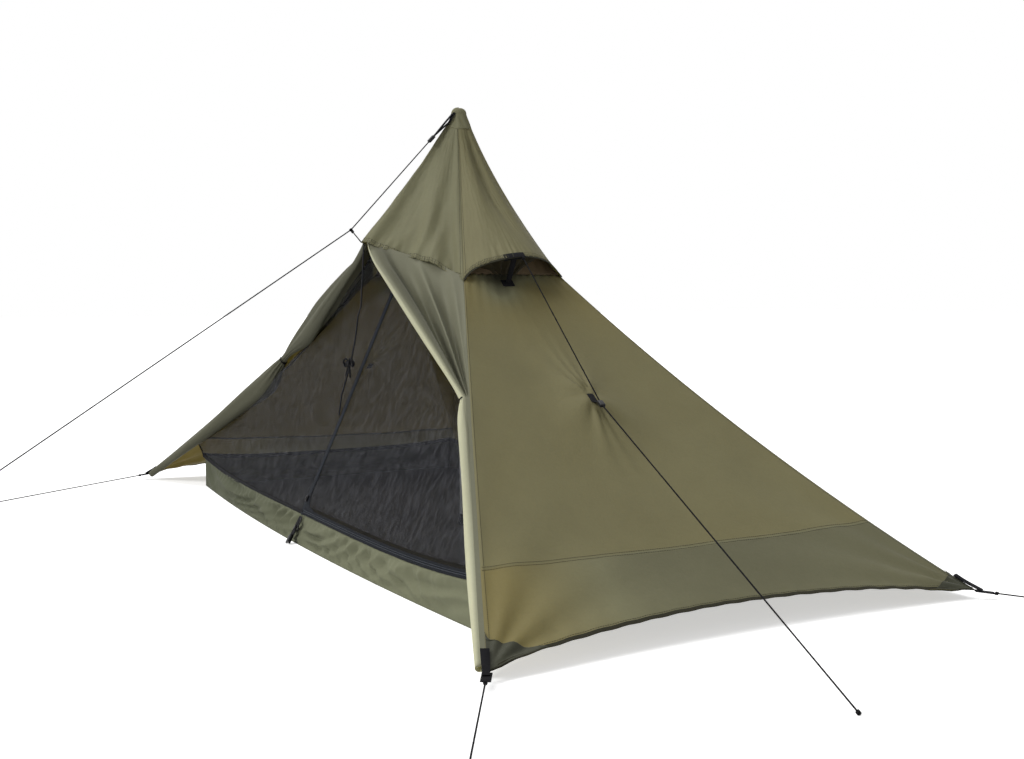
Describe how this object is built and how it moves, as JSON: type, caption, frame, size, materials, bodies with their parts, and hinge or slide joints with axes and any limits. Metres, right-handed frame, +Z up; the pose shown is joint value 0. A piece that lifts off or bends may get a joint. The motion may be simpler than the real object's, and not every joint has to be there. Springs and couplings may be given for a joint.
{
  "type": "solo pyramid tent",
  "caption": "Olive single-pole pyramid tent with its door tied back, over a black netting inner tent with a tub floor.",
  "frame": {"origin": "centre of the footprint on the ground, at the bottom of the bounding box without the free cords", "axes": "+X along the long side towards the panel with the guy, +Y from the door to the back, +Z up"},
  "size_m": [3.2553, 2.0992, 1.25],
  "materials": {
    "fly": "coated olive nylon",
    "tub": "coated olive nylon",
    "netting": "fine black netting",
    "webbing": "black woven webbing",
    "cord": "black braided cord",
    "plastic": "moulded",
    "rubber": "moulded",
    "pole": "anodised"
  },
  "bodies": {
    "tent": {"apex_cap": "fly", "apex_cord_lock": "plastic", "apex_guy": "cord", "apex_webbing": "webbing", "cap_back": "fly", "cap_front": "fly", "cap_left": "fly", "cap_right": "fly", "corner_guy_left": "cord", "corner_guy_near": "cord", "corner_guy_right": "cord", "corner_tab_back": "webbing", "corner_tab_left": "webbing", "corner_tab_near": "webbing", "corner_tab_right": "webbing", "crown_patch": "webbing", "door_bow": "webbing", "door_strap": "webbing", "flap_left": "fly", "flap_right": "fly", "floor": "tub", "mesh_back": "netting", "mesh_door": "netting", "mesh_front": "netting", "mesh_left": "netting", "mesh_right": "netting", "panel_back": "fly", "panel_left": "fly", "panel_right": "fly", "peak_guy": "cord", "pole_tip": "plastic", "pole_upper": "pole", "rim_strap": "webbing", "side_cord_lock": "plastic", "side_guy_lower": "cord", "side_guy_upper": "cord", "side_tab_left": "webbing", "side_tab_right": "webbing", "tieback_left": "cord", "tieback_right": "cord", "vent_base_left": "webbing", "vent_base_right": "webbing", "vent_mesh_left": "netting", "vent_mesh_right": "netting", "vent_tab_left": "webbing", "vent_tab_right": "webbing", "wall_back": "tub", "wall_front": "tub", "wall_left": "tub", "wall_right": "tub", "zip_tape_rim": "webbing", "zip_tape_up": "webbing"},
    "zip_slider": {"zip_slider": "plastic"},
    "vent_strut_right": {"vent_strut_right": "webbing"},
    "vent_strut_left": {"vent_strut_left": "webbing"},
    "pole_lower": {"pole_lower": "pole", "pole_foot": "rubber"},
    "pole_collar": {"pole_collar": "plastic"}
  },
  "joints": [
    {"name": "zip_travel", "type": "slide", "parent": "tent", "child": "zip_slider", "axis": [0, 0.4122, 0.9111], "range_m": [0, 0.85]},
    {"name": "vent_strut_right_fold", "type": "hinge", "parent": "tent", "child": "vent_strut_right", "pos_m": [0.3486, -0.03, 0.7325], "axis": [0, 1, 0], "range_deg": [0, 85]},
    {"name": "vent_strut_left_fold", "type": "hinge", "parent": "tent", "child": "vent_strut_left", "pos_m": [-0.3486, -0.03, 0.7325], "axis": [0, -1, 0], "range_deg": [0, 85]},
    {"name": "pole_telescope", "type": "slide", "parent": "tent", "child": "pole_lower", "axis": [0, 0, 1], "range_m": [0, 0.4]},
    {"name": "pole_lock_twist", "type": "hinge", "parent": "tent", "child": "pole_collar", "pos_m": [0, 0, 0.617], "axis": [0, 0, 1], "range_deg": [-90, 90]}
  ]
}
